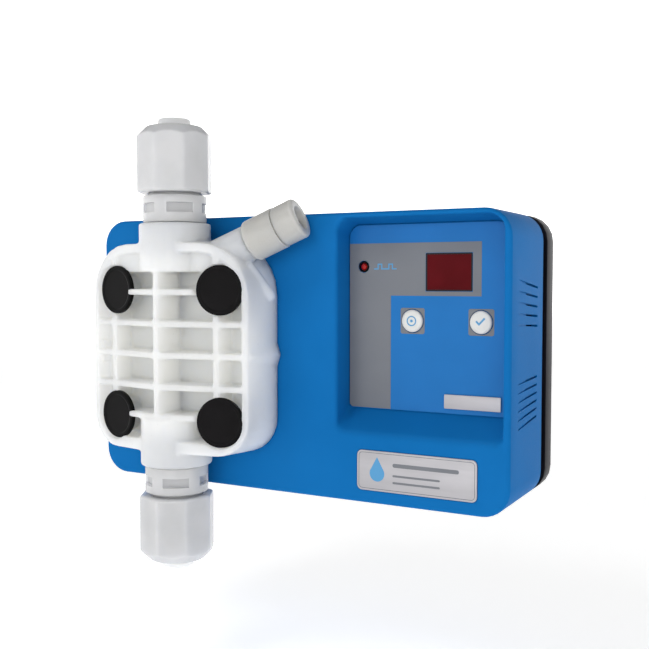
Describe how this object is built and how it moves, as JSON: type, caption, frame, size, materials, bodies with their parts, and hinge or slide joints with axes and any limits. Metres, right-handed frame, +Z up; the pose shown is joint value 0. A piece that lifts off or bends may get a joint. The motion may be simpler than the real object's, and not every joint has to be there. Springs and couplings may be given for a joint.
{
  "type": "diaphragm dosing pump",
  "caption": "Wall-mounted solenoid diaphragm dosing pump: shallow blue case with a sunken control panel, ribbed translucent pump head, valves above and below, slanted bleed valve.",
  "frame": {"origin": "centre of the rear face that rests against the wall", "axes": "+Y points into the wall, so -Y is the front; +Z is up, towards the discharge valve; +X is to the right as seen from the front, towards the control panel"},
  "size_m": [0.193, 0.0842, 0.1786],
  "materials": {
    "blue_plastic": "moulded, satin gloss",
    "black_plastic": "moulded, satin",
    "rubber_seal": "matt",
    "panel_film": "printed film, satin",
    "red_window": "deep red, glossy",
    "red_lens": "clear red, glossy",
    "key_film": "silvery cream, satin",
    "silver_label": "printed foil",
    "natural_pp": "natural translucent polypropylene",
    "ceramic": "ground ceramic",
    "ptfe": "smooth white",
    "steel": "turned or zinc plated",
    "copper": "enamelled winding",
    "lamination": "laminated steel and tape",
    "circuit_board": "green solder mask",
    "terminal_green": "moulded, matt"
  },
  "bodies": {
    "pump": {"front_housing": "blue_plastic", "case_gasket": "rubber_seal", "rear_cover": "black_plastic", "case_screw_lower_left": "steel", "case_screw_lower_right": "steel", "case_screw_upper_left": "steel", "case_screw_upper_right": "steel", "panel_overlay": "panel_film", "display_window": "red_window", "status_lamp": "red_lens", "rating_label": "silver_label", "name_plate": "silver_label", "display_module": "black_plastic", "display_board": "circuit_board", "cal_switch": "black_plastic", "set_switch": "black_plastic", "main_board": "circuit_board", "transformer": "lamination", "terminal_block": "terminal_green", "cable_gland": "black_plastic", "probe_socket": "steel", "pump_head": "natural_pp", "head_screw_lower_left": "steel", "head_screw_lower_right": "steel", "head_screw_upper_left": "steel", "head_screw_upper_right": "steel", "screw_cap_lower_left": "black_plastic", "screw_cap_lower_right": "black_plastic", "screw_cap_upper_left": "black_plastic", "screw_cap_upper_right": "black_plastic", "discharge_valve_body": "natural_pp", "discharge_o_ring": "rubber_seal", "discharge_valve_seat": "ptfe", "discharge_ball_cage": "natural_pp", "suction_valve_body": "natural_pp", "suction_o_ring": "rubber_seal", "suction_valve_seat": "ptfe", "suction_ball_cage": "natural_pp", "bleed_valve_body": "natural_pp", "backing_plate": "steel", "diaphragm": "ptfe", "mounting_plate": "steel", "solenoid_yoke": "steel", "coil_bobbin": "natural_pp", "coil_winding": "copper", "pole_core": "steel", "return_spring": "steel"},
    "plunger": {"armature": "steel", "push_rod": "steel", "diaphragm_hub": "steel"},
    "discharge_ball": {"discharge_ball": "ceramic"},
    "suction_ball": {"suction_ball": "ceramic"},
    "cal_key": {"cal_key": "key_film"},
    "set_key": {"set_key": "key_film"},
    "discharge_insert": {"discharge_tube_insert": "natural_pp"},
    "discharge_nut": {"discharge_tube_nut": "natural_pp"},
    "suction_insert": {"suction_tube_insert": "natural_pp"},
    "suction_nut": {"suction_tube_nut": "natural_pp"},
    "bleed_needle": {"bleed_needle": "steel"},
    "bleed_knob": {"bleed_knob": "natural_pp"}
  },
  "joints": [
    {"name": "plunger_stroke", "type": "slide", "parent": "pump", "child": "plunger", "axis": [0, -1, 0], "range_m": [0, 0.00125], "stiffness_N_per_m": 3000, "springref_m": -0.001, "deforming": ["return_spring", "diaphragm"]},
    {"name": "discharge_ball_lift", "type": "slide", "parent": "pump", "child": "discharge_ball", "axis": [0, 0, 1], "range_m": [0, 0.0012]},
    {"name": "suction_ball_lift", "type": "slide", "parent": "pump", "child": "suction_ball", "axis": [0, 0, 1], "range_m": [0, 0.0012]},
    {"name": "cal_key_press", "type": "slide", "parent": "pump", "child": "cal_key", "axis": [0, 1, 0], "range_m": [0, 0.0004], "stiffness_N_per_m": 2000, "springref_m": -0.0004},
    {"name": "set_key_press", "type": "slide", "parent": "pump", "child": "set_key", "axis": [0, 1, 0], "range_m": [0, 0.0004], "stiffness_N_per_m": 2000, "springref_m": -0.0004},
    {"name": "discharge_insert_travel", "type": "slide", "parent": "pump", "child": "discharge_insert", "axis": [0, 0, 1], "range_m": [0, 0.0127]},
    {"name": "discharge_nut_turn", "type": "hinge", "parent": "discharge_insert", "child": "discharge_nut", "pos_m": [-0.0415, -0.0692, 0.0768], "axis": [0, 0, 1], "range_deg": [0, 2520]},
    {"name": "suction_insert_travel", "type": "slide", "parent": "pump", "child": "suction_insert", "axis": [0, 0, -1], "range_m": [0, 0.0127]},
    {"name": "suction_nut_turn", "type": "hinge", "parent": "suction_insert", "child": "suction_nut", "pos_m": [-0.0415, -0.0692, -0.0694], "axis": [0, 0, -1], "range_deg": [0, 2520]},
    {"name": "bleed_needle_travel", "type": "slide", "parent": "pump", "child": "bleed_needle", "axis": [0.8999, 0.1571, 0.4067], "range_m": [0, 0.001]},
    {"name": "bleed_knob_turn", "type": "hinge", "parent": "bleed_needle", "child": "bleed_knob", "pos_m": [0.00863, -0.06325, 0.05136], "axis": [0.8999, 0.1571, 0.4067], "range_deg": [0, 360]}
  ],
  "couplings": [
    {"joint": "discharge_nut_turn", "follows": "discharge_insert_travel", "rad_per_m": 3463.7},
    {"joint": "suction_nut_turn", "follows": "suction_insert_travel", "rad_per_m": 3463.7},
    {"joint": "bleed_knob_turn", "follows": "bleed_needle_travel", "rad_per_m": 6283.2}
  ]
}
